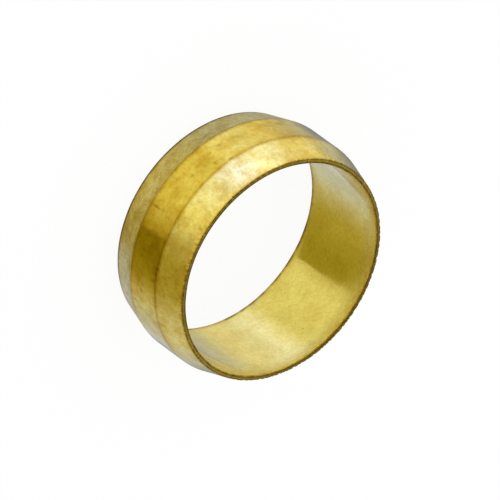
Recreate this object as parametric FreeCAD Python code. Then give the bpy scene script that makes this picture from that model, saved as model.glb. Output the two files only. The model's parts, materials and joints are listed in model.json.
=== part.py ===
import FreeCAD, Part
import math
import os

# Compression olive: the brass sealing ring of a compression pipe fitting, turned from bar in one piece.
# A plain bore slides over the tube. Outside, a cylindrical land lies between two tapers that run down
# to thin flat ends. The nut presses the tapers into coned seats, so that the ring closes onto the tube.
# The ring stands on one end at Z = 0, with its axis on +Z. Both ends are alike. Sizes are in millimetres.

# Driving dimensions
TUBE_DIAMETER = 15.0       # outside diameter of the tube that the ring slides onto
TUBE_CLEARANCE = 0.1       # slack between tube and bore, on the diameter
OVERALL_LENGTH = 7.1       # end face to end face
LAND_WIDTH = 2.7           # cylindrical band between the two tapers
LAND_WALL = 0.92           # wall thickness under the land
END_WALL = 0.35            # wall thickness that each taper leaves at its end
MOUTH_CHAMFER = 0.08       # 45 degree lead-in at each mouth of the bore
CREASE_RADIUS = 0.4        # blend where the land meets each taper
END_EDGE_RADIUS = 0.04     # broken edge where each taper meets its end face

# Sizes that follow
BORE_RADIUS = (TUBE_DIAMETER + TUBE_CLEARANCE) / 2
MOUTH_RADIUS = BORE_RADIUS + MOUTH_CHAMFER
END_RADIUS = BORE_RADIUS + END_WALL
LAND_RADIUS = BORE_RADIUS + LAND_WALL
TAPER_LENGTH = (OVERALL_LENGTH - LAND_WIDTH) / 2

SHARP = 0
FULL_TURN = 360
AXIS_POINT = FreeCAD.Vector(0, 0, 0)
AXIS_DIRECTION = FreeCAD.Vector(0, 0, 1)


def section_corners():
    """The half-section's corners as (radius, height, rounding), from one bore mouth round to the other."""
    lower_half = [
        (BORE_RADIUS, MOUTH_CHAMFER, SHARP),
        (MOUTH_RADIUS, 0, SHARP),
        (END_RADIUS, 0, END_EDGE_RADIUS),
        (LAND_RADIUS, TAPER_LENGTH, CREASE_RADIUS),
    ]
    upper_half = [
        (radius, OVERALL_LENGTH - height, rounding)
        for radius, height, rounding in reversed(lower_half)
    ]
    return lower_half + upper_half


def corner_arc(before, corner, after, rounding):
    """The arc of radius rounding that touches both sides of a corner: its first, middle and last point."""
    to_before = (before - corner).normalize()
    to_after = (after - corner).normalize()
    half_angle = to_before.getAngle(to_after) / 2
    setback = rounding / math.tan(half_angle)
    depth = rounding / math.sin(half_angle) - rounding
    inward = (to_before + to_after).normalize()
    return corner + to_before * setback, corner + inward * depth, corner + to_after * setback


def half_section():
    """The ring's cross-section on the +X side: straight sides, rounded where the corners say so."""
    corners = section_corners()
    points = [FreeCAD.Vector(radius, 0, height) for radius, height, _ in corners]
    arcs = []
    for place, (_, _, rounding) in enumerate(corners):
        before, corner = points[place - 1], points[place]
        after = points[(place + 1) % len(points)]
        arcs.append(corner_arc(before, corner, after, rounding))
    edges = []
    for place, (first, middle, last) in enumerate(arcs):
        if corners[place][2] != SHARP:
            edges.append(Part.Arc(first, middle, last).toShape())
        next_first = arcs[(place + 1) % len(arcs)][0]
        edges.append(Part.LineSegment(last, next_first).toShape())
    return Part.Face(Part.Wire(edges))


def olive_ring():
    """The section turned about the axis into one closed ring."""
    return half_section().revolve(AXIS_POINT, AXIS_DIRECTION, FULL_TURN)


def main():
    os.makedirs("parts", exist_ok=True)
    olive_ring().exportStep("parts/olive_ring.step")


main()
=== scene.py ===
"""A brass compression olive: one turned ring with tumbled, drawn and parted finishes, on a white stage.

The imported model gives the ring's length, its largest diameter and its bore. The ring is a closed
half-section carried once round the Z axis, with the small marks of turning, parting off and tumbling
in its mesh. All lengths are in metres, and the ring stands on one end at Z = 0.
"""

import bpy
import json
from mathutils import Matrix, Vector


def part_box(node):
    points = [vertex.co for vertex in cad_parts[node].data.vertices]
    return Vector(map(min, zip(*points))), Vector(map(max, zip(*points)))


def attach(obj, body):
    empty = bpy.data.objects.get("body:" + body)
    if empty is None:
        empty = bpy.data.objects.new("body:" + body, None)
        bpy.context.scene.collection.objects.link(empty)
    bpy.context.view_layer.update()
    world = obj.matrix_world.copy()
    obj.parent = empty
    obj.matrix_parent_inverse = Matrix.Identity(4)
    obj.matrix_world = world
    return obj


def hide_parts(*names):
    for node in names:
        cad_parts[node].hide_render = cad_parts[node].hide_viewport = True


bl_info = {
    "name": "Compression Olive",
    "version": (1, 0, 0),
    "blender": (4, 5, 0),
    "location": "3D View > Sidebar > Olive",
    "description": "Builds a turned brass compression olive with its finishes, and a white stage for it",
    "category": "Add Mesh",
}

import json
import math

import bmesh
import bpy
import numpy as np
from mathutils import Matrix, Vector

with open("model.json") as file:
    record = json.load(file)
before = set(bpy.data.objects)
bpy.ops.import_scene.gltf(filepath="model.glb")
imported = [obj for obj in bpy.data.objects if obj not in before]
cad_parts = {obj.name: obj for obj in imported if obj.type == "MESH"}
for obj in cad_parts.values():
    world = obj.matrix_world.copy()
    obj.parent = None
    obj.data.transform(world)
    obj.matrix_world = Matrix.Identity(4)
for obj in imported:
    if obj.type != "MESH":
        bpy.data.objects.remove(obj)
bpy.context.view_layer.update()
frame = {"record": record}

MM = 0.001
RING_NODE = "olive_ring"
RING_BODY = "root"

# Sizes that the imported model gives
RING_LOW, RING_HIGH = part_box(RING_NODE)
RING_LENGTH = RING_HIGH.z - RING_LOW.z
RING_RADIUS = RING_HIGH.x
BORE_DIMS = next(m["dims"] for m in frame["record"]["mounts"] if m["name"] == "tube_bore")
BORE_RADIUS = BORE_DIMS["r_mm"] * MM
MOUTH_CHAMFER = (RING_LENGTH - BORE_DIMS["length_mm"] * MM) / 2

# Grid of the ring's mesh: steps round the axis, and along each stretch of the section
STEPS_ROUND = 640
STEPS_BORE = 26
STEPS_CHAMFER = 2
STEPS_END = 8
STEPS_TAPER = 18
STEPS_LAND = 22
STEPS_ARC = 5

# Zones of the section, in the order of the ring's material slots
OUTSIDE, BORE, END = range(3)

# Soft waves of the surface and bites along the burred edge: the range of their counts round the ring and
# along the section, and the power by which a wave's height falls with its count
WAVES_SUMMED = 60
WAVE_COUNTS = ((3, 30), (0, 8))
WAVE_FADE = 0.5
BITE_COUNTS = ((60, 240), (0, 9))
BITE_FADE = 0.2
BITE_GAIN = 2.0

# Tumbling nicks: how many, the ranges of their widths and of their lengths per width, and the range whose
# squares are their shares of the full depth
NICK_AMOUNT = 220
NICK_WIDTHS = (0.05 * MM, 0.16 * MM)
NICK_LENGTHS = (0.6, 1.8)
NICK_SHARES = (0.2, 1.0)

# How far marks, tarnish, dull spots and the edges' painted shade and dirt reach from the edge, crease or
# mouth
BURR_REACH = 0.13 * MM
CREASE_REACH = 0.15 * MM
RIM_REACH = 0.4 * MM
# The dark lines on the ends' edges are partly dirt and partly painted shade, wider and darker round the
# lower end to paint its outline
UPPER_SHADE_AND_DIRT_REACH = 0.075 * MM
LOWER_SHADE_AND_DIRT_REACH = 0.15 * MM
LOWER_SHADE_AND_DIRT_GAIN = 2.0
UPPER_MOUTH_REACH = 1.1 * MM
LOWER_MOUTH_REACH = 0.5 * MM

# Width over which one band of the outside changes into the next
BAND_RAMP = 0.12 * MM

# Lathe marks spread the gloss across them, most on the parted ends
TURNED_ANISOTROPY = 0.4
PARTED_ANISOTROPY = 0.9
QUARTER_TURN = 0.25

# Roughness that the clouds add from their clear to their dull spots, and that the lower taper has on top
OUTSIDE_SWING = 0.06
BORE_SWING = 0.04
END_SWING = 0.12
LOWER_TAPER_DULLNESS = 0.1

# Share of the tarnish that the bore takes, and of the turning lines in the relief
BORE_TARNISH = 0.45
LINE_RELIEF = 0.5

# Strength and depth of the fine relief
OUTSIDE_RELIEF = (0.4, 0.003 * MM)
BORE_RELIEF = (0.25, 0.002 * MM)
END_RELIEF = (0.8, 0.006 * MM)

# Noise at which a pattern starts to show and at which it is full
CLOUD_RANGE = (0.36, 0.66)
GRAIN_RANGE = (0.32, 0.68)
SPECK_RANGE = (0.72, 0.95)
BREAK_RANGE = (0.32, 0.62)

# Sockets of a Mix node that mixes colours
MIX_FACTOR, MIX_FIRST, MIX_SECOND, MIX_RESULT = 0, 6, 7, 2

# Stage: its white, the floor's sides, reach and gap under the ring, the fineness of tent and plates, and how
# near and how far the camera sees
WHITE = (1.0, 1.0, 1.0)
FLOOR_SIDES = 96
FLOOR_REACH = 2000 * MM
FLOOR_GAP = 0.01 * MM
TENT_SUBDIVISIONS = 7
PLATE_STEPS = 80
CLIP_NEAR = 10 * MM
CLIP_FAR = 20000 * MM

# Cards of the light tent, each in front of the one before: the height over the picture's horizon and the
# heading of its middle, its half width and half height, its soft edge and its tilt, all in degrees.
# Heading 0 is at the camera, 90 at its right and -90 at its left.
TENT_CARDS = {
    "table": (-90, 0, 70, 70, 30, 0),
    "pale_card": (60, -175, 25, 15, 25, 0),
    "back_card": (10, -170, 45, 35, 35, 25),
    "cool_card": (35, 160, 20, 15, 25, 0),
    "window": (-15, -155, 20, 10, 20, 0),
    "gold_card": (20, 0, 60, 40, 40, 0),
    "softbox": (70, 0, 40, 25, 40, 0),
    "lamp": (65, -25, 20, 15, 10, 0),
    "warm_card": (55, 135, 20, 15, 25, 0),
    "left_card": (35, -85, 25, 35, 15, -10),
    "side_card": (30, -125, 15, 30, 20, 0),
    "brown_card": (-10, -90, 30, 30, 25, -15),
    "end_card": (-35, 95, 80, 15, 15, 0),
}

# Upright plates close by on the left, in millimetres: how far the middle is nearer to the camera than the
# ring's axis, the half width, the top over the axis, the height of the arch at the top, the foot under the
# axis and the height over which the foot fades
NEAR_PLATES = {
    "bore_plate": (-8.0, 4.5, 9.0, 12.0, 13.0, 15.0),
    "land_plate": (6.5, 8.5, 7.0, 15.0, 22.0, 24.0),
    "taper_plate": (21.0, 9.0, 6.0, 3.0, 16.0, 18.0),
}

# Larger marks on the outside: degrees round the axis, height, half length and half width in millimetres
MARKS = ((-80, 2.7, 0.4, 0.06), (-117, 4.75, 0.12, 0.15))


def length_property(name, description, default):
    """A size in metres that a user may change."""
    return bpy.props.FloatProperty(
        name=name, description=description, default=default, min=0.0, precision=5, unit="LENGTH"
    )


def colour_property(name, description, default):
    """A linear colour that a user may change."""
    return bpy.props.FloatVectorProperty(
        name=name, description=description, default=default, size=3, min=0.0, soft_max=1.0, subtype="COLOR"
    )


def share_property(name, description, default):
    """A value from 0 to 1 that a user may change."""
    return bpy.props.FloatProperty(
        name=name, description=description, default=default, min=0.0, max=1.0, subtype="FACTOR"
    )


def angle_property(name, description, degrees):
    """An angle that a user may change, given here in degrees."""
    return bpy.props.FloatProperty(
        name=name, description=description, default=math.radians(degrees), subtype="ANGLE"
    )


class OliveSizes(bpy.types.PropertyGroup):
    """Sizes of the ring's section."""

    length: length_property("Length", "From end face to end face", RING_LENGTH)
    land_radius: length_property("Land radius", "Radius of the cylindrical band", RING_RADIUS)
    bore_radius: length_property("Bore radius", "Radius of the plain bore", BORE_RADIUS)
    mouth_chamfer: length_property("Mouth chamfer", "Lead-in at each mouth of the bore", MOUTH_CHAMFER)
    land_width: length_property("Land width", "Cylindrical band between the tapers", 2.7 * MM)
    end_wall: length_property("End wall", "Wall that each taper leaves at its end", 0.35 * MM)
    crease_radius: length_property("Crease radius", "Blend from the land to each taper", 0.4 * MM)
    end_edge_radius: length_property("End edge radius", "Broken edge round each end", 0.04 * MM)
    mouth_edge_radius: length_property("Mouth edge radius", "Worn edges of the chamfers", 0.02 * MM)


class OliveWear(bpy.types.PropertyGroup):
    """Marks of turning, parting off and tumbling that are in the mesh."""

    seed: bpy.props.IntProperty(name="Seed", description="Start of the random draws", default=7, min=0)
    wave_depth: length_property("Wave depth", "Height of the soft waves in the surface", 0.008 * MM)
    burr_depth: length_property("Burr depth", "Bites along the outer edge of the upper end", 0.055 * MM)
    nick_depth: length_property("Nick depth", "Deepest of the small tumbling nicks", 0.012 * MM)


class OliveFinish(bpy.types.PropertyGroup):
    """Colours and roughness of the brass. Each tint is multiplied onto the brass under it."""

    taper_brass: colour_property("Taper brass", "Tumbled brass of the tapers", (0.96, 0.86, 0.42))
    land_brass: colour_property("Land brass", "Rubbed brass of the land", (0.94, 0.77, 0.22))
    bore_brass: colour_property("Bore brass", "Drawn brass of the bore", (0.92, 0.82, 0.37))
    # The ends' brass is darker than the rest partly for its parted finish and partly as painted shade for
    # the dark rim
    ends_brass_and_shade: colour_property("End brass", "Parted brass of the ends", (0.80, 0.60, 0.12))
    tarnish_tint: colour_property("Tarnish tint", "Thin tarnish in cloudy patches", (0.78, 0.68, 0.42))
    grain_tint: colour_property("Grain tint", "Fine dull grain", (0.88, 0.86, 0.82))
    stain_tint: colour_property("Stain tint", "Warm stains on the outside", (1.0, 0.96, 0.76))
    crease_tint: colour_property("Crease tint", "Tarnish that stays along the creases", (0.66, 0.55, 0.22))
    rim_tint: colour_property("Rim tint", "Warmer brass beside the ends", (0.98, 0.86, 0.48))
    # Dark line on the ends' edges: partly dirt and oxide, partly painted shade
    edge_shade_and_dirt_tint: colour_property("Edge tint", "Dirt and oxide on the edges of the ends", (0.16, 0.14, 0.07))
    speck_tint: colour_property("Speck tint", "Small spots and nicks with oxide", (0.60, 0.54, 0.42))
    taper_roughness: share_property("Taper roughness", "Tumbled tapers", 0.2)
    land_roughness: share_property("Land roughness", "Rubbed land", 0.08)
    bore_roughness: share_property("Bore roughness", "Drawn bore", 0.07)
    mouth_roughness: share_property("Mouth roughness", "Added to the bore at its mouths", 0.38)
    end_roughness: share_property("End roughness", "Parted ends", 0.35)


class OliveLight(bpy.types.PropertyGroup):
    """Colours of the light tent, its cards and the near plates, which the brass mirrors."""

    tent: colour_property("Tent", "White cloth all round", WHITE)
    table: colour_property("Table", "Warm table", (0.70, 0.68, 0.55))
    pale_card: colour_property("Pale card", "Pale cloth high at the back", (0.85, 0.85, 0.75))
    back_card: colour_property("Back card", "Dim grey card behind", (0.25, 0.28, 0.32))
    cool_card: colour_property("Cool card", "Grey card behind, over the back card", (0.56, 0.58, 0.57))
    window: colour_property("Window", "Cool opening behind", (0.60, 0.65, 0.80))
    gold_card: colour_property("Gold card", "Gold card beside the camera", (0.95, 0.86, 0.30))
    softbox: colour_property("Softbox", "Cool box overhead", (1.30, 1.40, 1.55))
    lamp: colour_property("Lamp", "Brightest part of the box overhead", (1.20, 1.30, 2.00))
    warm_card: colour_property("Warm card", "Warm card over the right", (0.95, 0.85, 0.50))
    left_card: colour_property("Left card", "Cream card on the left", (0.85, 0.80, 0.40))
    side_card: colour_property("Side card", "Dim cream card at the back on the left", (0.60, 0.55, 0.35))
    brown_card: colour_property("Brown card", "Brown card on the left", (0.45, 0.37, 0.07))
    end_card: colour_property("End card", "Olive card that the end face mirrors", (0.11, 0.09, 0.01))
    bore_plate: colour_property("Bore plate", "Brown plate that the bore mirrors", (0.36, 0.30, 0.03))
    land_plate: colour_property("Land plate", "Brown plate that the land mirrors", (0.26, 0.21, 0.01))
    taper_plate: colour_property("Taper plate", "Brown plate that the taper mirrors", (0.40, 0.32, 0.05))


class OliveStage(bpy.types.PropertyGroup):
    """Camera, floor, and how far off the tent and the near plates are."""

    camera_height: angle_property("Camera height", "Camera above the horizon", 43.2)
    axis_dip: angle_property("Axis dip", "Upper end below the picture's horizontal", 36.15)
    camera_distance: length_property("Camera distance", "Camera to the upper end face", 1424 * MM)
    picture_width: length_property("Picture width", "Width seen at the upper end face", 32.14 * MM)
    offset_right: length_property("Offset right", "Upper end right of the picture's centre", 2.03 * MM)
    offset_down: length_property("Offset down", "Upper end below the picture's centre", 1.285 * MM)
    floor_colour: colour_property("Floor", "White floor", WHITE)
    shadow_share: share_property("Shadow share", "How much of the ring's shadow the floor shows", 0.08)
    tent_radius: length_property("Tent radius", "Middle of the stage to the tent's cloth", 1000 * MM)
    plate_distance: length_property("Plate distance", "Ring's axis to the near plates", 31 * MM)


# Section of the ring


def unit(vectors):
    """Vectors of length 1 along the rows."""
    return vectors / np.linalg.norm(vectors, axis=-1, keepdims=True)


def section_corners(sizes):
    """The section's corners, from the lower bore mouth out, up the outside, in and down the bore.

    Each is radius, height, rounding, the zone of its arc and the zone and steps of the side that follows.
    """
    mouth_radius = sizes.bore_radius + sizes.mouth_chamfer
    end_radius = sizes.bore_radius + sizes.end_wall
    taper = (sizes.length - sizes.land_width) / 2
    top = sizes.length
    chamfer = sizes.mouth_chamfer
    worn = sizes.mouth_edge_radius
    edge = sizes.end_edge_radius
    crease = sizes.crease_radius
    return [
        (sizes.bore_radius, chamfer, worn, END, END, STEPS_CHAMFER),
        (mouth_radius, 0.0, worn, END, END, STEPS_END),
        (end_radius, 0.0, edge, END, OUTSIDE, STEPS_TAPER),
        (sizes.land_radius, taper, crease, OUTSIDE, OUTSIDE, STEPS_LAND),
        (sizes.land_radius, top - taper, crease, OUTSIDE, OUTSIDE, STEPS_TAPER),
        (end_radius, top, edge, END, END, STEPS_END),
        (mouth_radius, top, worn, END, END, STEPS_CHAMFER),
        (sizes.bore_radius, top - chamfer, worn, END, BORE, STEPS_BORE),
    ]


def section_outline(sizes):
    """The closed section as points (radius, height), with the zone of the stretch after each point.

    Each corner becomes an arc that touches both its sides: the arc's centre lies on the corner's bisector,
    and its points turn evenly from the first touching point to the second.
    """
    corners = section_corners(sizes)
    places = np.array([corner[:2] for corner in corners])
    rounding = np.array([[corner[2]] for corner in corners])
    before = unit(np.roll(places, 1, axis=0) - places)
    after = unit(np.roll(places, -1, axis=0) - places)
    half_angle = np.arccos(np.sum(before * after, axis=1, keepdims=True)) / 2
    setback = rounding / np.tan(half_angle)
    centres = places + unit(before + after) * rounding / np.sin(half_angle)
    first = places + before * setback
    last = places + after * setback
    turn = math.pi - 2 * half_angle
    along_arc = np.linspace(0.0, 1.0, STEPS_ARC + 1)[:, None]
    points = []
    zones = []
    for place, (_, _, _, arc_zone, side_zone, side_steps) in enumerate(corners):
        angle = turn[place]
        from_first = np.sin((1 - along_arc) * angle) * (first[place] - centres[place])
        from_last = np.sin(along_arc * angle) * (last[place] - centres[place])
        points.append(centres[place] + (from_first + from_last) / np.sin(angle))
        zones += [arc_zone] * STEPS_ARC + [side_zone] * side_steps
        along_side = np.linspace(0.0, 1.0, side_steps + 1)[1:-1, None]
        next_first = first[(place + 1) % len(corners)]
        points.append(last[place] + along_side * (next_first - last[place]))
    return np.concatenate(points), np.array(zones)


def outward_normals(points):
    """Normals of the closed section, square to the chord between each point's two neighbours."""
    chord = unit(np.roll(points, -1, axis=0) - np.roll(points, 1, axis=0))
    return np.stack([chord[:, 1], -chord[:, 0]], axis=1)


def distance_along(points):
    """Distance of each point along the closed section, and the whole length of it."""
    sides = np.linalg.norm(np.roll(points, -1, axis=0) - points, axis=1)
    total = sides.sum()
    return np.cumsum(sides) - sides, total


def nearness(points, places, reach):
    """A bell of width reach round the nearest of the given places, for each section point."""
    gaps = np.linalg.norm(points[:, None] - np.array(places)[None], axis=2).min(axis=1)
    return np.exp(-((gaps / reach) ** 2))


def end_edges(sizes):
    """Places in the section of the outer and the inner edge of the lower end, and of the upper end."""
    radii = (sizes.bore_radius + sizes.end_wall, sizes.bore_radius + sizes.mouth_chamfer)
    return [[(radius, height) for radius in radii] for height in (0.0, sizes.length)]


def band_share(points, sizes, middle, half_height):
    """1 on a band of the outside and 0 elsewhere, with a short ramp over each edge of the band."""
    past_edge = np.abs(points[:, 1] - middle) - half_height
    outside = points[:, 0] > sizes.bore_radius + sizes.end_wall
    return np.clip(0.5 - past_edge / BAND_RAMP, 0.0, 1.0) * outside


# Marks in the mesh


def summed_waves(rng, angle, along, total, counts, fade):
    """Sum of cosine waves that close up round the ring and along the section, scaled to stay within 1.

    Each wave has a whole count round the ring and along the section and a random phase. Its height falls
    with its count round the ring, to the power of fade.
    """
    range_round, range_along = counts
    round_counts = rng.integers(*range_round, WAVES_SUMMED)
    along_counts = rng.integers(*range_along, WAVES_SUMMED)
    phases = rng.uniform(0.0, 2 * math.pi, WAVES_SUMMED)
    heights = (1.0 + round_counts) ** -fade
    round_phase = round_counts[:, None] * angle[None]
    along_phase = along_counts[:, None] * along[None] * (2 * math.pi / total) + phases[:, None]
    cosines = (heights[:, None] * np.cos(along_phase)).T @ np.cos(round_phase)
    sines = (heights[:, None] * np.sin(along_phase)).T @ np.sin(round_phase)
    waves = cosines - sines
    return waves / np.abs(waves).max()


def bells_round(angle, along, radius, centre_angle, centre_along, width, length, depth):
    """Sum of bells: each has a width round the ring, a length along the section and a depth."""
    chord = 2 * radius * np.sin((angle[None] - centre_angle[:, None]) / 2)
    across = np.exp(-((chord / width[:, None]) ** 2))
    lengthwise = np.exp(-(((along[None] - centre_along[:, None]) / length[:, None]) ** 2))
    return (depth[:, None] * lengthwise).T @ across


def small_nicks(rng, angle, along, radius, stretch):
    """Small dips at random places on one stretch of the section."""
    centre_angle = rng.uniform(0.0, 2 * math.pi, NICK_AMOUNT)
    centre_along = rng.uniform(*stretch, NICK_AMOUNT)
    width = rng.uniform(*NICK_WIDTHS, NICK_AMOUNT)
    length = width * rng.uniform(*NICK_LENGTHS, NICK_AMOUNT)
    depth = rng.uniform(*NICK_SHARES, NICK_AMOUNT) ** 2
    return bells_round(angle, along, radius, centre_angle, centre_along, width, length, depth)


def larger_marks(angle, points, zones, radius):
    """The listed marks on the outside."""
    marks = np.array(MARKS)
    turn = np.radians(marks[:, 0])
    height, length, width = marks[:, 1:].T * MM
    dips = bells_round(angle, points[:, 1], radius, turn, height, width, length, np.ones(len(marks)))
    return dips * (zones == OUTSIDE)[:, None]


def wear_marks(points, zones, angle, sizes, wear):
    """Depth of the wear under the section, on the ring's grid, and its shares of nicks and of burr."""
    rng = np.random.default_rng(wear.seed)
    along, total = distance_along(points)
    outside = along[zones == OUTSIDE]
    waves = summed_waves(rng, angle, along, total, WAVE_COUNTS, WAVE_FADE)
    bites = summed_waves(rng, angle, along, total, BITE_COUNTS, BITE_FADE)
    _, (outer_edge, _) = end_edges(sizes)
    at_edge = nearness(points, [outer_edge], BURR_REACH)
    burr = at_edge[:, None] * np.clip(BITE_GAIN * bites, 0.0, 1.0)
    dips = small_nicks(rng, angle, along, sizes.land_radius, (outside.min(), outside.max()))
    dips += larger_marks(angle, points, zones, sizes.land_radius)
    depth = wear.wave_depth * (1 + waves) + wear.burr_depth * burr + wear.nick_depth * dips
    return depth, np.clip(dips, 0.0, 1.0), burr


# Mesh of the ring


def ring_mesh(sizes, wear):
    """The section carried round the Z axis, as a grid that closes both ways.

    A point at angle a is (r cos a, r sin a, z), where r and z are the section's radius and height less
    the wear along the section's normal.
    """
    points, zones = section_outline(sizes)
    angle = np.arange(STEPS_ROUND) * (2 * math.pi / STEPS_ROUND)
    depth, nicks, burr = wear_marks(points, zones, angle, sizes, wear)
    normals = outward_normals(points)
    radius = points[:, :1] - depth * normals[:, :1]
    height = points[:, 1:] - depth * normals[:, 1:]
    grid = np.stack([radius * np.cos(angle), radius * np.sin(angle), height], axis=2)

    rows = len(points)
    row, column = np.meshgrid(np.arange(rows), np.arange(STEPS_ROUND), indexing="ij")
    next_row = (row + 1) % rows
    next_column = (column + 1) % STEPS_ROUND
    corner_rows = np.stack([row, row, next_row, next_row], axis=2)
    corner_columns = np.stack([column, next_column, next_column, column], axis=2)
    quads = (corner_rows * STEPS_ROUND + corner_columns).reshape(-1, 4)

    mesh = bpy.data.meshes.new(RING_NODE)
    mesh.from_pydata(grid.reshape(-1, 3), [], quads)
    mesh.polygons.foreach_set("material_index", np.repeat(zones, STEPS_ROUND))
    mesh.shade_smooth()
    add_turned_map(mesh, points, row, column)
    add_place_values(mesh, points, sizes)
    add_value(mesh, "nicks", nicks)
    # Dark edge mask: painted shade and dirt along the ends' edges, and over the burr's bites, dimming their
    # glints
    add_value(mesh, "edge", np.maximum(edge_shade_and_dirt(points, sizes)[:, None], burr))
    mesh.validate()
    mesh.update()
    return mesh


def add_turned_map(mesh, points, row, column):
    """A UV map that follows the lathe: U is the share of one turn, and V the distance along the section."""
    along, total = distance_along(points)
    v_low = along[row]
    v_high = np.append(along[1:], total)[row]
    u_low = column / STEPS_ROUND
    u_high = (column + 1) / STEPS_ROUND
    u = np.stack([u_low, u_high, u_high, u_low], axis=2)
    v = np.stack([v_low, v_low, v_high, v_high], axis=2) / total
    layer = mesh.uv_layers.new(name="turned_map")
    layer.uv.foreach_set("vector", np.stack([u, v], axis=3).ravel())


def add_value(mesh, name, values):
    """Puts one value per vertex on the mesh."""
    attribute = mesh.attributes.new(name, "FLOAT", "POINT")
    attribute.data.foreach_set("value", np.ravel(values))


def edge_shade_and_dirt(points, sizes):
    """How dark the ends' edges are painted, partly as dirt and partly as painted shade: a narrow line on the
    upper end, a wider and thicker one below.
    """
    lower, upper = end_edges(sizes)
    lower_shade_and_dirt = LOWER_SHADE_AND_DIRT_GAIN * nearness(points, lower, LOWER_SHADE_AND_DIRT_REACH)
    return lower_shade_and_dirt + nearness(points, upper, UPPER_SHADE_AND_DIRT_REACH)


def add_place_values(mesh, points, sizes):
    """Values that tell the finishes where a point is: near a crease, an end or a mouth, or on a band."""
    taper = (sizes.length - sizes.land_width) / 2
    lower, upper = end_edges(sizes)
    creases = [(sizes.land_radius, taper), (sizes.land_radius, sizes.length - taper)]
    lower_mouth = nearness(points, [(sizes.bore_radius, 0.0)], LOWER_MOUTH_REACH)
    upper_mouth = nearness(points, [(sizes.bore_radius, sizes.length)], UPPER_MOUTH_REACH)
    values = {
        "crease": nearness(points, creases, CREASE_REACH),
        "rim": nearness(points, lower + upper, RIM_REACH),
        "mouth": lower_mouth + upper_mouth,
        "land": band_share(points, sizes, sizes.length / 2, sizes.land_width / 2),
        "lower_taper": band_share(points, sizes, taper / 2, taper / 2),
    }
    for name, value in values.items():
        add_value(mesh, name, np.repeat(value, STEPS_ROUND))


# Object and node helpers


def add_object(name, data):
    """Puts a new object into the scene."""
    thing = bpy.data.objects.new(name, data)
    bpy.context.scene.collection.objects.link(thing)
    return thing


def empty_material(name):
    """A new material and its node tree, with no nodes in it yet."""
    material = bpy.data.materials.new(name)
    material.use_nodes = True
    tree = material.node_tree
    tree.nodes.clear()
    return material, tree


def set_surface(tree, shader):
    """Links a shader to a new output of the material."""
    output = tree.nodes.new("ShaderNodeOutputMaterial")
    tree.links.new(shader.outputs[0], output.inputs["Surface"])


def add_node(tree, kind, inputs=None, **settings):
    """Adds one node. Settings are its properties, and inputs hold a value or a socket to link."""
    node = tree.nodes.new(kind)
    for name, value in settings.items():
        setattr(node, name, value)
    for name, value in (inputs or {}).items():
        if isinstance(value, bpy.types.NodeSocket):
            tree.links.new(value, node.inputs[name])
        else:
            node.inputs[name].default_value = value
    return node


def math_node(tree, operation, first, second=0.0, clamp=False):
    """The result of a Math node."""
    inputs = {0: first, 1: second}
    return add_node(tree, "ShaderNodeMath", inputs, operation=operation, use_clamp=clamp).outputs[0]


def scaled_sum(tree, value, scale, rest):
    """Value times scale plus rest."""
    node = add_node(tree, "ShaderNodeMath", {0: value, 1: scale, 2: rest}, operation="MULTIPLY_ADD")
    return node.outputs[0]


def mix_colours(tree, factor, first, second, blend="MIX"):
    """The colour that first becomes as the factor brings second in, by the given way to blend."""
    inputs = {MIX_FACTOR: factor, MIX_FIRST: first, MIX_SECOND: second}
    node = add_node(tree, "ShaderNodeMix", inputs, data_type="RGBA", blend_type=blend)
    return node.outputs[MIX_RESULT]


def tint_in_turn(tree, colour, tints):
    """A colour multiplied by one tint after the other, each as far as its own factor goes."""
    for factor, tint in tints:
        colour = mix_colours(tree, factor, colour, rgba(tint), "MULTIPLY")
    return colour


def mix_shaders(tree, factor, first, second):
    """A shader between first and second."""
    inputs = {0: factor, 1: first.outputs[0], 2: second.outputs[0]}
    return add_node(tree, "ShaderNodeMixShader", inputs)


def read_attribute(tree, name):
    """A value that the mesh carries."""
    return add_node(tree, "ShaderNodeAttribute", attribute_name=name).outputs["Fac"]


def noise_value(tree, place, scale, detail, roughness):
    """The value of a noise texture."""
    inputs = {"Vector": place, "Scale": scale, "Detail": detail, "Roughness": roughness}
    return add_node(tree, "ShaderNodeTexNoise", inputs).outputs[0]


def smooth_range(tree, value, low, high):
    """0 below low and 1 above high, with a smooth step between."""
    inputs = {"Value": value, "From Min": low, "From Max": high}
    kind = "ShaderNodeMapRange"
    return add_node(tree, kind, inputs, interpolation_type="SMOOTHSTEP").outputs["Result"]


def rgba(colour):
    """A colour with full alpha."""
    return (*colour, 1.0)


def new_group(name, inputs, outputs):
    """An empty shader node group with the named float sockets, its input node and its output node."""
    tree = bpy.data.node_groups.new(name, "ShaderNodeTree")
    for socket_name, default in inputs.items():
        socket = tree.interface.new_socket(socket_name, in_out="INPUT", socket_type="NodeSocketFloat")
        socket.default_value = default
    for socket_name in outputs:
        tree.interface.new_socket(socket_name, in_out="OUTPUT", socket_type="NodeSocketFloat")
    return tree, tree.nodes.new("NodeGroupInput"), tree.nodes.new("NodeGroupOutput")


def place_group(tree, group, **values):
    """Places a group in a tree with its own values, and returns its outputs."""
    node = tree.nodes.new("ShaderNodeGroup")
    node.node_tree = group
    for name, value in values.items():
        node.inputs[name.replace("_", " ").capitalize()].default_value = value
    return node.outputs


# Effects that the finishes share


def tumbled_clouds():
    """Cloudy patches about a millimetre wide, and a finer grain, both from noise in object space."""
    tree, group_in, group_out = new_group(
        "Tumbled clouds", {"Cloud scale": 900.0, "Grain scale": 5000.0}, ["Cloud", "Grain"]
    )
    place = tree.nodes.new("ShaderNodeTexCoord").outputs["Object"]
    cloud = noise_value(tree, place, group_in.outputs["Cloud scale"], detail=5.0, roughness=0.7)
    grain = noise_value(tree, place, group_in.outputs["Grain scale"], detail=3.0, roughness=0.7)
    tree.links.new(smooth_range(tree, cloud, *CLOUD_RANGE), group_out.inputs["Cloud"])
    tree.links.new(smooth_range(tree, grain, *GRAIN_RANGE), group_out.inputs["Grain"])
    return tree


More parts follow.
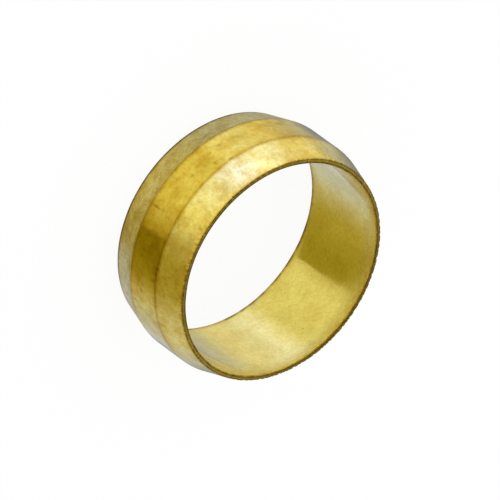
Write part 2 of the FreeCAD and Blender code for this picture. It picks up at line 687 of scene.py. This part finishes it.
def turning_lines():
    """Fine lines round the ring: noise that is stretched round the axis and dense along the section."""
    tree, group_in, group_out = new_group(
        "Turning lines", {"Lines along": 900.0, "Breaks": 260.0}, ["Lines"]
    )
    place = tree.nodes.new("ShaderNodeTexCoord").outputs["Object"]
    turned = add_node(tree, "ShaderNodeUVMap", uv_map="turned_map").outputs["UV"]
    xyz = add_node(tree, "ShaderNodeSeparateXYZ", {"Vector": place})
    along = add_node(tree, "ShaderNodeSeparateXYZ", {"Vector": turned})
    breaks = group_in.outputs["Breaks"]
    combined = add_node(
        tree,
        "ShaderNodeCombineXYZ",
        {
            "X": math_node(tree, "MULTIPLY", xyz.outputs["X"], breaks),
            "Y": math_node(tree, "MULTIPLY", xyz.outputs["Y"], breaks),
            "Z": math_node(tree, "MULTIPLY", along.outputs["Y"], group_in.outputs["Lines along"]),
        },
    )
    lines = noise_value(tree, combined.outputs[0], scale=1.0, detail=2.0, roughness=0.5)
    tree.links.new(lines, group_out.inputs["Lines"])
    return tree


def oxide_specks():
    """Scattered small spots: the hearts of random cells, in those cells that their random colour picks."""
    tree, group_in, group_out = new_group(
        "Oxide specks", {"Speck scale": 1500.0, "Speck size": 0.16}, ["Specks"]
    )
    place = tree.nodes.new("ShaderNodeTexCoord").outputs["Object"]
    cells = add_node(
        tree, "ShaderNodeTexVoronoi", {"Vector": place, "Scale": group_in.outputs["Speck scale"]}
    )
    from_heart = math_node(tree, "DIVIDE", cells.outputs["Distance"], group_in.outputs["Speck size"])
    heart = math_node(tree, "SUBTRACT", 1.0, from_heart, clamp=True)
    picked = add_node(tree, "ShaderNodeSeparateColor", {"Color": cells.outputs["Color"]})
    shows = smooth_range(tree, picked.outputs[0], *SPECK_RANGE)
    tree.links.new(math_node(tree, "MULTIPLY", heart, shows), group_out.inputs["Specks"])
    return tree


def tarnish_and_edge_shade():
    """Masks along the creases and round the ends' edges, which noise breaks up down to a least share. The
    edges' mask is painted shade and dirt.
    """
    tree, group_in, group_out = new_group(
        "Edge tarnish", {"Break scale": 700.0, "Least share": 0.4}, ["Crease", "Rim", "Edge"]
    )
    place = tree.nodes.new("ShaderNodeTexCoord").outputs["Object"]
    noise = noise_value(tree, place, group_in.outputs["Break scale"], detail=3.0, roughness=0.6)
    broken = smooth_range(tree, noise, *BREAK_RANGE)
    share = math_node(tree, "MAXIMUM", broken, group_in.outputs["Least share"])
    for name in ("crease", "rim", "edge"):
        near = read_attribute(tree, name)
        tree.links.new(math_node(tree, "MULTIPLY", near, share), group_out.inputs[name.capitalize()])
    return tree


# Finishes


def new_finish(name, anisotropy):
    """A metal that is turned about the Z axis: its material, its tree and its shader."""
    material, tree = empty_material(name)
    tangent = add_node(tree, "ShaderNodeTangent", direction_type="RADIAL", axis="Z")
    inputs = {
        "Metallic": 1.0,
        "Anisotropic": anisotropy,
        "Anisotropic Rotation": QUARTER_TURN,
        "Tangent": tangent.outputs[0],
    }
    shader = add_node(tree, "ShaderNodeBsdfPrincipled", inputs)
    set_surface(tree, shader)
    return material, tree, shader


def set_bump(tree, shader, height, strength, distance):
    """Fine relief on the shader's normal."""
    inputs = {"Strength": strength, "Distance": distance, "Height": height}
    bump = add_node(tree, "ShaderNodeBump", inputs)
    tree.links.new(bump.outputs["Normal"], shader.inputs["Normal"])


def finish_outside(finish, groups):
    """Tumbled tapers and rubbed land: satin brass with cloudy tarnish, specks and browned creases.

    The lower taper is duller than the upper one and has a mottle of its own.
    """
    material, tree, shader = new_finish("tumbled_brass", TURNED_ANISOTROPY)
    clouds = place_group(tree, groups["clouds"], cloud_scale=900.0, grain_scale=5200.0)
    stains = place_group(tree, groups["clouds"], cloud_scale=1300.0, grain_scale=2600.0)
    lines = place_group(tree, groups["lines"], lines_along=700.0, breaks=240.0)
    specks = place_group(tree, groups["specks"], speck_scale=2400.0, speck_size=0.2)
    edges = place_group(tree, groups["edges"], break_scale=3200.0, least_share=0.75)
    spots = math_node(tree, "MAXIMUM", specks["Specks"], read_attribute(tree, "nicks"))
    land = read_attribute(tree, "land")
    lower_taper = read_attribute(tree, "lower_taper")
    mottle = math_node(tree, "MULTIPLY", stains["Grain"], lower_taper)
    brass = mix_colours(tree, land, rgba(finish.taper_brass), rgba(finish.land_brass))
    tints = (
        (clouds["Cloud"], finish.tarnish_tint),
        (stains["Cloud"], finish.stain_tint),
        (clouds["Grain"], finish.grain_tint),
        (mottle, finish.grain_tint),
        (edges["Rim"], finish.rim_tint),
        (edges["Crease"], finish.crease_tint),
        # The edges' tint is partly painted shade and partly dirt
        (edges["Edge"], finish.edge_shade_and_dirt_tint),
        (spots, finish.speck_tint),
    )
    tree.links.new(tint_in_turn(tree, brass, tints), shader.inputs["Base Color"])
    smoother = finish.land_roughness - finish.taper_roughness
    even = scaled_sum(tree, land, smoother, finish.taper_roughness - OUTSIDE_SWING / 2)
    even = scaled_sum(tree, lower_taper, LOWER_TAPER_DULLNESS, even)
    tree.links.new(scaled_sum(tree, clouds["Cloud"], OUTSIDE_SWING, even), shader.inputs["Roughness"])
    set_bump(tree, shader, scaled_sum(tree, lines["Lines"], LINE_RELIEF, clouds["Grain"]), *OUTSIDE_RELIEF)
    return material


def finish_bore(finish, groups):
    """Smooth drawn bore: glossier than the outside, duller at its mouths, with faint clouds and specks."""
    material, tree, shader = new_finish("drawn_brass", TURNED_ANISOTROPY)
    clouds = place_group(tree, groups["clouds"], cloud_scale=700.0, grain_scale=4600.0)
    lines = place_group(tree, groups["lines"], lines_along=900.0, breaks=200.0)
    specks = place_group(tree, groups["specks"], speck_scale=2200.0, speck_size=0.2)
    edges = place_group(tree, groups["edges"], break_scale=900.0, least_share=0.5)
    mouth = read_attribute(tree, "mouth")
    tints = (
        (math_node(tree, "MULTIPLY", clouds["Cloud"], BORE_TARNISH), finish.tarnish_tint),
        (clouds["Grain"], finish.grain_tint),
        (edges["Rim"], finish.rim_tint),
        # The edges' tint is partly painted shade and partly dirt
        (edges["Edge"], finish.edge_shade_and_dirt_tint),
        (specks["Specks"], finish.speck_tint),
    )
    tree.links.new(tint_in_turn(tree, rgba(finish.bore_brass), tints), shader.inputs["Base Color"])
    even = scaled_sum(tree, mouth, finish.mouth_roughness, finish.bore_roughness - BORE_SWING / 2)
    tree.links.new(scaled_sum(tree, clouds["Cloud"], BORE_SWING, even), shader.inputs["Roughness"])
    set_bump(tree, shader, scaled_sum(tree, lines["Lines"], LINE_RELIEF, clouds["Grain"]), *BORE_RELIEF)
    return material


def finish_ends(finish, groups):
    """Parted ends and chamfers: rougher brass with lines round the axis and dark edges of painted shade and
    dirt.
    """
    material, tree, shader = new_finish("parted_brass", PARTED_ANISOTROPY)
    clouds = place_group(tree, groups["clouds"], cloud_scale=1600.0, grain_scale=6500.0)
    lines = place_group(tree, groups["lines"], lines_along=2600.0, breaks=500.0)
    edges = place_group(tree, groups["edges"], break_scale=1500.0, least_share=0.7)
    tints = (
        (clouds["Cloud"], finish.tarnish_tint),
        (clouds["Grain"], finish.grain_tint),
        # The edges' tint is partly painted shade and partly dirt
        (edges["Edge"], finish.edge_shade_and_dirt_tint),
    )
    # The ends' brass is darkened partly as painted shade
    tree.links.new(tint_in_turn(tree, rgba(finish.ends_brass_and_shade), tints), shader.inputs["Base Color"])
    roughness = scaled_sum(tree, clouds["Cloud"], END_SWING, finish.end_roughness - END_SWING / 2)
    tree.links.new(roughness, shader.inputs["Roughness"])
    set_bump(tree, shader, lines["Lines"], *END_RELIEF)
    return material


# Stage


def camera_axes(stage):
    """The camera's right, up and back directions.

    Back is the way to the camera, at the camera's height in the YZ plane. Right and up are turned about it
    until the ring's axis points to the lower right, axis_dip below the picture's horizontal.
    """
    height = stage.camera_height
    roll = math.pi / 2 + stage.axis_dip
    back = Vector((0.0, -math.cos(height), math.sin(height)))
    level_right = Vector((1.0, 0.0, 0.0))
    level_up = back.cross(level_right)
    right = math.cos(roll) * level_right + math.sin(roll) * level_up
    up = math.cos(roll) * level_up - math.sin(roll) * level_right
    return right, up, back


def add_camera(stage, sizes):
    """A long lens at the picture's viewing angle, with the ring where the picture has it."""
    right, up, back = camera_axes(stage)
    upper_end = Vector((0.0, 0.0, sizes.length))
    aim = upper_end - stage.offset_right * right + stage.offset_down * up
    data = bpy.data.cameras.new("photo_camera")
    data.lens = data.sensor_width * stage.camera_distance / stage.picture_width
    data.clip_start = CLIP_NEAR
    data.clip_end = CLIP_FAR
    camera = add_object("photo_camera", data)
    axes = Matrix((right, up, back)).transposed().to_4x4()
    camera.matrix_world = Matrix.Translation(aim + back * stage.camera_distance) @ axes
    bpy.context.scene.camera = camera


def add_floor(stage):
    """A wide round floor just under the ring.

    It is white to the camera but for a share of the ring's shadow, and mirrored rays pass through it.
    """
    angle = np.linspace(0.0, 2 * math.pi, FLOOR_SIDES, endpoint=False)
    level = np.full_like(angle, -FLOOR_GAP)
    rim = np.stack([FLOOR_REACH * np.cos(angle), FLOOR_REACH * np.sin(angle), level], axis=1)
    mesh = bpy.data.meshes.new("floor")
    mesh.from_pydata(rim, [], [np.arange(FLOOR_SIDES)])
    material, tree = empty_material("pale_floor")
    path = tree.nodes.new("ShaderNodeLightPath").outputs
    paint = add_node(tree, "ShaderNodeBsdfDiffuse", {"Color": rgba(stage.floor_colour)})
    white = add_node(tree, "ShaderNodeEmission", {"Color": rgba(WHITE), "Strength": 1.0})
    clear = tree.nodes.new("ShaderNodeBsdfTransparent")
    seen = mix_shaders(tree, stage.shadow_share, white, paint)
    direct = math_node(tree, "MAXIMUM", path["Is Camera Ray"], path["Is Transmission Ray"])
    surface = mix_shaders(tree, direct, paint, seen)
    set_surface(tree, mix_shaders(tree, path["Is Glossy Ray"], surface, clear))
    mesh.materials.append(material)
    floor = add_object("floor", mesh)
    floor.visible_shadow = False


def smooth_step(value):
    """0 below 0 and 1 above 1, with a smooth step between."""
    value = np.clip(value, 0.0, 1.0)
    return value * value * (3 - 2 * value)


def way_at(axes, height, heading):
    """The direction at a height over the picture's horizon and a heading round it."""
    right, up, back = axes
    level = math.cos(heading) * back + math.sin(heading) * right
    return math.cos(height) * level + math.sin(height) * up


def card_share(ways, axes, card):
    """How far a card covers each way out of the tent, from 0 to 1.

    Across and rise are the way's angles from the card's middle along the card's own two axes, which the
    tilt turns. The cover falls from 1 to 0 by a smooth step over the soft edge.
    """
    height, heading, half_width, half_height, edge, tilt = (math.radians(angle) for angle in card)
    middle = way_at(axes, height, heading)
    level = way_at(axes, 0.0, heading + math.pi / 2)
    upright = middle.cross(level)
    card_right = math.cos(tilt) * level + math.sin(tilt) * upright
    card_up = math.cos(tilt) * upright - math.sin(tilt) * level
    across = np.arctan2(ways @ card_right, ways @ middle)
    rise = np.arcsin(np.clip(ways @ card_up, -1.0, 1.0))
    inside_width = smooth_step((half_width - np.abs(across)) / edge + 0.5)
    inside_height = smooth_step((half_height - np.abs(rise)) / edge + 0.5)
    return inside_width * inside_height


def glow_finish(name, has_cover=False):
    """A material that glows in the mesh's own colours, and clears where a cover on it is less than 1."""
    material, tree = empty_material(name)
    material.cycles.emission_sampling = "NONE"
    colour = add_node(tree, "ShaderNodeAttribute", attribute_name="glow").outputs["Color"]
    surface = add_node(tree, "ShaderNodeEmission", {"Color": colour, "Strength": 1.0})
    if has_cover:
        clear = tree.nodes.new("ShaderNodeBsdfTransparent")
        surface = mix_shaders(tree, read_attribute(tree, "cover"), clear, surface)
    set_surface(tree, surface)
    return material


def add_glow(mesh, colours):
    """Puts the colour that each vertex glows in on the mesh."""
    glow = mesh.attributes.new("glow", "FLOAT_COLOR", "POINT")
    glow.data.foreach_set("color", np.ravel(colours))


def place_mirrored(name, mesh):
    """Puts a mesh on the stage where only mirrored rays see it."""
    thing = add_object(name, mesh)
    thing.visible_camera = False
    thing.visible_diffuse = False
    thing.visible_transmission = False
    thing.visible_shadow = False


def add_tent(stage, light):
    """A white light tent with soft-edged cards, seen only as the brass mirrors it."""
    mesh = bpy.data.meshes.new("light_tent")
    shell = bmesh.new()
    bmesh.ops.create_icosphere(shell, subdivisions=TENT_SUBDIVISIONS, radius=stage.tent_radius)
    shell.to_mesh(mesh)
    shell.free()
    places = np.empty(len(mesh.vertices) * 3)
    mesh.vertices.foreach_get("co", places)
    ways = unit(places.reshape(-1, 3))
    axes = camera_axes(stage)
    colours = np.tile(rgba(light.tent), (len(ways), 1))
    for name, card in TENT_CARDS.items():
        share = card_share(ways, axes, card)[:, None]
        colours += share * (np.array(rgba(getattr(light, name))) - colours)
    add_glow(mesh, colours)
    mesh.materials.append(glow_finish("tent_cloth"))
    place_mirrored("light_tent", mesh)


def add_near_plate(stage, name, plate, colour):
    """An upright plate with an arched top, close by on the left, seen only as the brass mirrors it.

    Above is square to the ring's axis and to the camera's right, and nearer is square to right and above.
    The plate lies along nearer and above. Across goes from -1 to 1 over its width, and its top edge is half
    an ellipse: the top less the arch's height times 1 - sqrt(1 - across squared). Its cover is the root of
    a smooth step, from 0 at the foot to 1 at the fade's height over it.
    """
    right, up, back = camera_axes(stage)
    above = (up * back.z - back * up.z).normalized()
    nearer = right.cross(above)
    middle, half_width, top, arch, foot, fade = (value * MM for value in plate)
    steps = PLATE_STEPS
    across, down = np.meshgrid(np.linspace(-1.0, 1.0, steps), np.linspace(0.0, 1.0, steps), indexing="ij")
    edge = top - arch * (1 - np.sqrt(1 - across**2))
    height = edge - down * (edge + foot)
    nearer_by = middle + half_width * across
    grid = nearer_by[..., None] * np.array(nearer) + height[..., None] * np.array(above)
    grid -= np.array(stage.plate_distance * right)
    row, column = np.meshgrid(np.arange(steps - 1), np.arange(steps - 1), indexing="ij")
    corner = row * steps + column
    quads = np.stack([corner, corner + steps, corner + steps + 1, corner + 1], axis=2).reshape(-1, 4)
    mesh = bpy.data.meshes.new(name)
    mesh.from_pydata(grid.reshape(-1, 3), [], quads)
    add_glow(mesh, np.tile(rgba(colour), (steps * steps, 1)))
    add_value(mesh, "cover", np.sqrt(smooth_step((height + foot) / fade)))
    mesh.materials.append(glow_finish(f"{name}_card", has_cover=True))
    place_mirrored(name, mesh)


def add_world():
    """White surroundings."""
    world = bpy.data.worlds.new("white_surround")
    bpy.context.scene.world = world
    world.use_nodes = True
    tree = world.node_tree
    tree.nodes.clear()
    light = add_node(tree, "ShaderNodeBackground", {"Color": rgba(WHITE), "Strength": 1.0})
    output = tree.nodes.new("ShaderNodeOutputWorld")
    tree.links.new(light.outputs[0], output.inputs["Surface"])


# Operators


class OLIVE_OT_build_ring(bpy.types.Operator):
    """Build the turned ring with its three finishes"""

    bl_idname = "olive.build_ring"
    bl_label = "Build ring"

    def execute(self, context):
        scene = context.scene
        mesh = ring_mesh(scene.olive_sizes, scene.olive_wear)
        groups = {
            "clouds": tumbled_clouds(),
            "lines": turning_lines(),
            "specks": oxide_specks(),
            "edges": tarnish_and_edge_shade(),
        }
        for make in (finish_outside, finish_bore, finish_ends):
            mesh.materials.append(make(scene.olive_finish, groups))
        ring = add_object("turned_ring", mesh)
        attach(ring, RING_BODY)
        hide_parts(RING_NODE)
        return {"FINISHED"}


class OLIVE_OT_build_stage(bpy.types.Operator):
    """Set up the white stage: camera, floor, light tent, near plates and white surroundings"""

    bl_idname = "olive.build_stage"
    bl_label = "Build stage"

    def execute(self, context):
        scene = context.scene
        scene.view_settings.view_transform = "Standard"
        add_camera(scene.olive_stage, scene.olive_sizes)
        add_floor(scene.olive_stage)
        add_tent(scene.olive_stage, scene.olive_light)
        for name, plate in NEAR_PLATES.items():
            add_near_plate(scene.olive_stage, name, plate, getattr(scene.olive_light, name))
        add_world()
        return {"FINISHED"}


class OLIVE_PT_panel(bpy.types.Panel):
    """Sizes, finishes and build steps of the olive"""

    bl_idname = "OLIVE_PT_panel"
    bl_label = "Compression Olive"
    bl_space_type = "VIEW_3D"
    bl_region_type = "UI"
    bl_category = "Olive"

    def draw(self, context):
        layout = self.layout
        for name, group in PROPERTY_GROUPS.items():
            box = layout.box()
            box.label(text=name.replace("_", " ").capitalize())
            for field in group.__annotations__:
                box.prop(getattr(context.scene, name), field)
        for operator in OPERATORS:
            layout.operator(operator.bl_idname)


PROPERTY_GROUPS = {
    "olive_sizes": OliveSizes,
    "olive_wear": OliveWear,
    "olive_finish": OliveFinish,
    "olive_light": OliveLight,
    "olive_stage": OliveStage,
}
OPERATORS = (OLIVE_OT_build_ring, OLIVE_OT_build_stage)
CLASSES = (*PROPERTY_GROUPS.values(), *OPERATORS, OLIVE_PT_panel)


def register():
    """Registers the classes and hangs the settings on the scene."""
    for cls in CLASSES:
        bpy.utils.register_class(cls)
    for name, group in PROPERTY_GROUPS.items():
        setattr(bpy.types.Scene, name, bpy.props.PointerProperty(type=group))


def unregister():
    """Takes the settings and the classes away again."""
    for name in PROPERTY_GROUPS:
        delattr(bpy.types.Scene, name)
    for cls in reversed(CLASSES):
        bpy.utils.unregister_class(cls)


def main():
    register()
    bpy.ops.olive.build_ring()
    bpy.ops.olive.build_stage()


if __name__ == "__main__":
    main()
